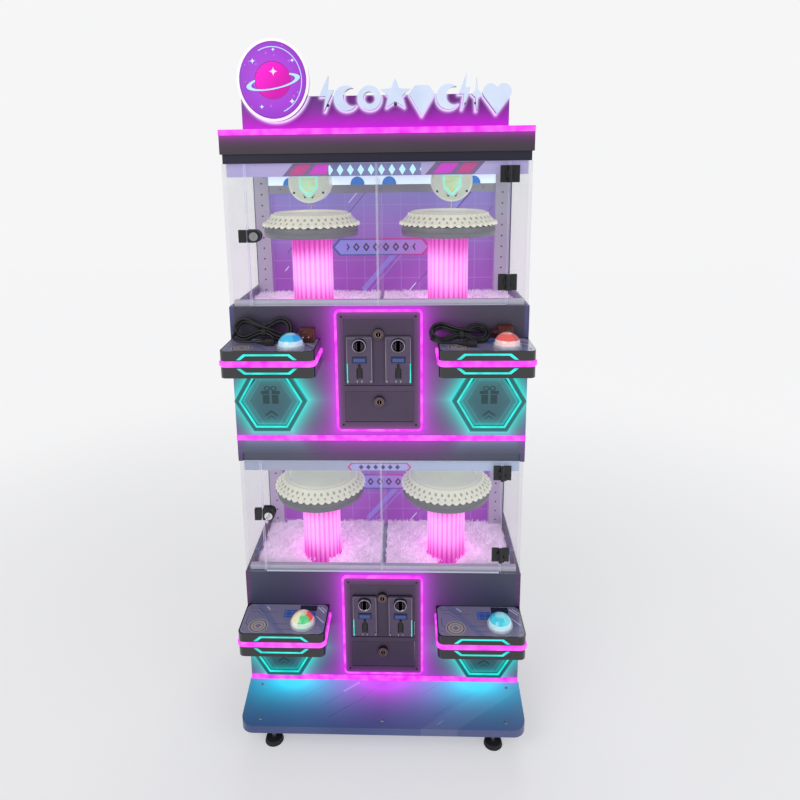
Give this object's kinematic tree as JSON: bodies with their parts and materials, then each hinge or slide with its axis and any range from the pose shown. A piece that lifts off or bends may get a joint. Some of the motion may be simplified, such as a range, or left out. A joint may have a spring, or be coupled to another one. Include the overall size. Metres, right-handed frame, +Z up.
{
  "type": "prize clip machine",
  "caption": "Two-tier arcade prize machine with clear display compartments, lit turntables, player consoles, coin panels and prize flaps on a stepped cabinet.",
  "frame": {"origin": "middle of the footprint, on the floor", "axes": "+Z up, +Y from the players' side to the back, +X to the players' right"},
  "size_m": [0.786, 0.54, 1.905],
  "materials": {
    "frame_steel": "satin black powder coat",
    "foot_rubber": "matt",
    "step_paint": "satin",
    "side_paint": "satin",
    "rear_paint": "satin",
    "crown_paint": "satin",
    "front_paint": "satin",
    "deck_paint": "satin",
    "clear_glass": "polished clear",
    "white_paint": "satin",
    "printed_plastic": "printed, satin",
    "white_fur": "long soft pile",
    "column_light": "lit, fluted",
    "motor_steel": "zinc plated",
    "cream_plastic": "moulded",
    "black_fittings": "satin black",
    "coin_plate_paint": "satin",
    "sheet_steel": "zinc plated",
    "console_black": "gloss black",
    "outlet_frame": "satin",
    "pink_light": "lit diffuser",
    "cyan_light": "lit diffuser",
    "header_paint": "gloss",
    "sign_white": "lit face",
    "unit_aluminium": "plain",
    "lead_rubber": "satin",
    "plug_plastic": "moulded",
    "lock_chrome": "polished",
    "acceptor_metal": "satin",
    "turntable_plastic": "moulded",
    "rod_steel": "polished",
    "button_lower_left": "clear dome, lit",
    "flap_plastic": "printed, satin",
    "return_plastic": "moulded",
    "button_lower_right": "clear dome, lit",
    "button_upper_left": "clear dome, lit",
    "button_upper_right": "clear dome, lit"
  },
  "bodies": {
    "cabinet": {"base_frame": "frame_steel", "cash_boxes": "sheet_steel", "clip_heads": "cream_plastic", "coin_frames": "coin_plate_paint", "consoles": "console_black", "control_unit": "unit_aluminium", "crown": "crown_paint", "cyan_light_panels": "cyan_light", "decks": "deck_paint", "fixed_glazing": "clear_glass", "front_panels": "front_paint", "fur_mats": "white_fur", "gear_motors": "motor_steel", "glass_brackets": "black_fittings", "glow_columns": "column_light", "header_board": "header_paint", "header_shapes": "sign_white", "kick_plate": "step_paint", "lead_ends": "plug_plastic", "lead_left": "lead_rubber", "lead_right": "lead_rubber", "levelling_feet": "foot_rubber", "pink_light_strips": "pink_light", "posts_and_rails": "white_paint", "printed_panels": "printed_plastic", "prize_outlets": "outlet_frame", "rear_panel": "rear_paint", "side_panels": "side_paint"},
    "lower_door": {"lower_glass_door": "clear_glass", "lower_door_fittings": "black_fittings"},
    "lower_lock": {"lower_door_lock": "lock_chrome"},
    "lower_coin_door_body": {"lower_coin_door": "coin_plate_paint", "lower_coin_acceptors": "acceptor_metal"},
    "lower_cash_door_body": {"lower_cash_door": "coin_plate_paint"},
    "turntable_body_lower_left": {"turntable_lower_left": "turntable_plastic"},
    "clip_body_lower_left": {"clip_rod_lower_left": "rod_steel"},
    "button_body_lower_left": {"dome_button_lower_left": "button_lower_left"},
    "flap_body_lower_left": {"prize_flap_lower_left": "flap_plastic"},
    "return_body_lower_left": {"coin_return_lower_left": "return_plastic"},
    "turntable_body_lower_right": {"turntable_lower_right": "turntable_plastic"},
    "clip_body_lower_right": {"clip_rod_lower_right": "rod_steel"},
    "button_body_lower_right": {"dome_button_lower_right": "button_lower_right"},
    "flap_body_lower_right": {"prize_flap_lower_right": "flap_plastic"},
    "return_body_lower_right": {"coin_return_lower_right": "return_plastic"},
    "upper_door": {"upper_glass_door": "clear_glass", "upper_door_fittings": "black_fittings"},
    "upper_lock": {"upper_door_lock": "lock_chrome"},
    "upper_coin_door_body": {"upper_coin_door": "coin_plate_paint", "upper_coin_acceptors": "acceptor_metal"},
    "upper_cash_door_body": {"upper_cash_door": "coin_plate_paint"},
    "turntable_body_upper_left": {"turntable_upper_left": "turntable_plastic"},
    "clip_body_upper_left": {"clip_rod_upper_left": "rod_steel"},
    "button_body_upper_left": {"dome_button_upper_left": "button_upper_left"},
    "flap_body_upper_left": {"prize_flap_upper_left": "flap_plastic"},
    "return_body_upper_left": {"coin_return_upper_left": "return_plastic"},
    "turntable_body_upper_right": {"turntable_upper_right": "turntable_plastic"},
    "clip_body_upper_right": {"clip_rod_upper_right": "rod_steel"},
    "button_body_upper_right": {"dome_button_upper_right": "button_upper_right"},
    "flap_body_upper_right": {"prize_flap_upper_right": "flap_plastic"},
    "return_body_upper_right": {"coin_return_upper_right": "return_plastic"}
  },
  "joints": [
    {"name": "lower_door_swing", "type": "hinge", "parent": "cabinet", "child": "lower_door", "pos_m": [0.331, -0.138, 0.47], "axis": [0, 0, 1], "range_deg": [0, 100]},
    {"name": "lower_lock_turn", "type": "hinge", "parent": "lower_door", "child": "lower_lock", "pos_m": [-0.311, -0.143, 0.655], "axis": [0, 1, 0], "range_deg": [0, 90]},
    {"name": "lower_coin_door_swing", "type": "hinge", "parent": "cabinet", "child": "lower_coin_door_body", "pos_m": [0, -0.133, 0.2706], "axis": [1, 0, 0], "range_deg": [0, 90]},
    {"name": "lower_cash_door_swing", "type": "hinge", "parent": "cabinet", "child": "lower_cash_door_body", "pos_m": [0, -0.133, 0.1736], "axis": [1, 0, 0], "range_deg": [0, 90]},
    {"name": "turntable_spin_lower_left", "type": "hinge", "parent": "cabinet", "child": "turntable_body_lower_left", "pos_m": [-0.18825, 0.02, 0.435], "axis": [0, 0, 1], "continuous": true},
    {"name": "clip_lift_lower_left", "type": "slide", "parent": "cabinet", "child": "clip_body_lower_left", "axis": [0, 0, 1], "range_m": [0, 0.01]},
    {"name": "button_press_lower_left", "type": "slide", "parent": "cabinet", "child": "button_body_lower_left", "axis": [0, 0, -1], "range_m": [0, 0.004], "stiffness_N_per_m": 600, "springref_m": -0.003},
    {"name": "flap_swing_lower_left", "type": "hinge", "parent": "cabinet", "child": "flap_body_lower_left", "pos_m": [-0.29, -0.139, 0.2724], "axis": [1, 0, 0], "range_deg": [0, 70]},
    {"name": "coin_return_press_lower_left", "type": "slide", "parent": "lower_coin_door_body", "child": "return_body_lower_left", "axis": [0, 1, 0], "range_m": [0, 0.003], "stiffness_N_per_m": 400, "springref_m": -0.002},
    {"name": "turntable_spin_lower_right", "type": "hinge", "parent": "cabinet", "child": "turntable_body_lower_right", "pos_m": [0.18825, 0.02, 0.435], "axis": [0, 0, 1], "continuous": true},
    {"name": "clip_lift_lower_right", "type": "slide", "parent": "cabinet", "child": "clip_body_lower_right", "axis": [0, 0, 1], "range_m": [0, 0.01]},
    {"name": "button_press_lower_right", "type": "slide", "parent": "cabinet", "child": "button_body_lower_right", "axis": [0, 0, -1], "range_m": [0, 0.004], "stiffness_N_per_m": 600, "springref_m": -0.003},
    {"name": "flap_swing_lower_right", "type": "hinge", "parent": "cabinet", "child": "flap_body_lower_right", "pos_m": [0.29, -0.139, 0.2724], "axis": [1, 0, 0], "range_deg": [0, 70]},
    {"name": "coin_return_press_lower_right", "type": "slide", "parent": "lower_coin_door_body", "child": "return_body_lower_right", "axis": [0, 1, 0], "range_m": [0, 0.003], "stiffness_N_per_m": 400, "springref_m": -0.002},
    {"name": "upper_door_swing", "type": "hinge", "parent": "cabinet", "child": "upper_door", "pos_m": [0.331, -0.138, 1.242], "axis": [0, 0, 1], "range_deg": [0, 100]},
    {"name": "upper_lock_turn", "type": "hinge", "parent": "upper_door", "child": "upper_lock", "pos_m": [-0.311, -0.143, 1.427], "axis": [0, 1, 0], "range_deg": [0, 90]},
    {"name": "upper_coin_door_swing", "type": "hinge", "parent": "cabinet", "child": "upper_coin_door_body", "pos_m": [0, -0.133, 1.0316], "axis": [1, 0, 0], "range_deg": [0, 90]},
    {"name": "upper_cash_door_swing", "type": "hinge", "parent": "cabinet", "child": "upper_cash_door_body", "pos_m": [0, -0.133, 0.9296], "axis": [1, 0, 0], "range_deg": [0, 90]},
    {"name": "turntable_spin_upper_left", "type": "hinge", "parent": "cabinet", "child": "turntable_body_upper_left", "pos_m": [-0.18825, 0.02, 1.207], "axis": [0, 0, 1], "continuous": true},
    {"name": "clip_lift_upper_left", "type": "slide", "parent": "cabinet", "child": "clip_body_upper_left", "axis": [0, 0, 1], "range_m": [0, 0.01]},
    {"name": "button_press_upper_left", "type": "slide", "parent": "cabinet", "child": "button_body_upper_left", "axis": [0, 0, -1], "range_m": [0, 0.004], "stiffness_N_per_m": 600, "springref_m": -0.003},
    {"name": "flap_swing_upper_left", "type": "hinge", "parent": "cabinet", "child": "flap_body_upper_left", "pos_m": [-0.29, -0.139, 1.05003], "axis": [1, 0, 0], "range_deg": [0, 70]},
    {"name": "coin_return_press_upper_left", "type": "slide", "parent": "upper_coin_door_body", "child": "return_body_upper_left", "axis": [0, 1, 0], "range_m": [0, 0.003], "stiffness_N_per_m": 400, "springref_m": -0.002},
    {"name": "turntable_spin_upper_right", "type": "hinge", "parent": "cabinet", "child": "turntable_body_upper_right", "pos_m": [0.18825, 0.02, 1.207], "axis": [0, 0, 1], "continuous": true},
    {"name": "clip_lift_upper_right", "type": "slide", "parent": "cabinet", "child": "clip_body_upper_right", "axis": [0, 0, 1], "range_m": [0, 0.01]},
    {"name": "button_press_upper_right", "type": "slide", "parent": "cabinet", "child": "button_body_upper_right", "axis": [0, 0, -1], "range_m": [0, 0.004], "stiffness_N_per_m": 600, "springref_m": -0.003},
    {"name": "flap_swing_upper_right", "type": "hinge", "parent": "cabinet", "child": "flap_body_upper_right", "pos_m": [0.29, -0.139, 1.05003], "axis": [1, 0, 0], "range_deg": [0, 70]},
    {"name": "coin_return_press_upper_right", "type": "slide", "parent": "upper_coin_door_body", "child": "return_body_upper_right", "axis": [0, 1, 0], "range_m": [0, 0.003], "stiffness_N_per_m": 400, "springref_m": -0.002}
  ]
}
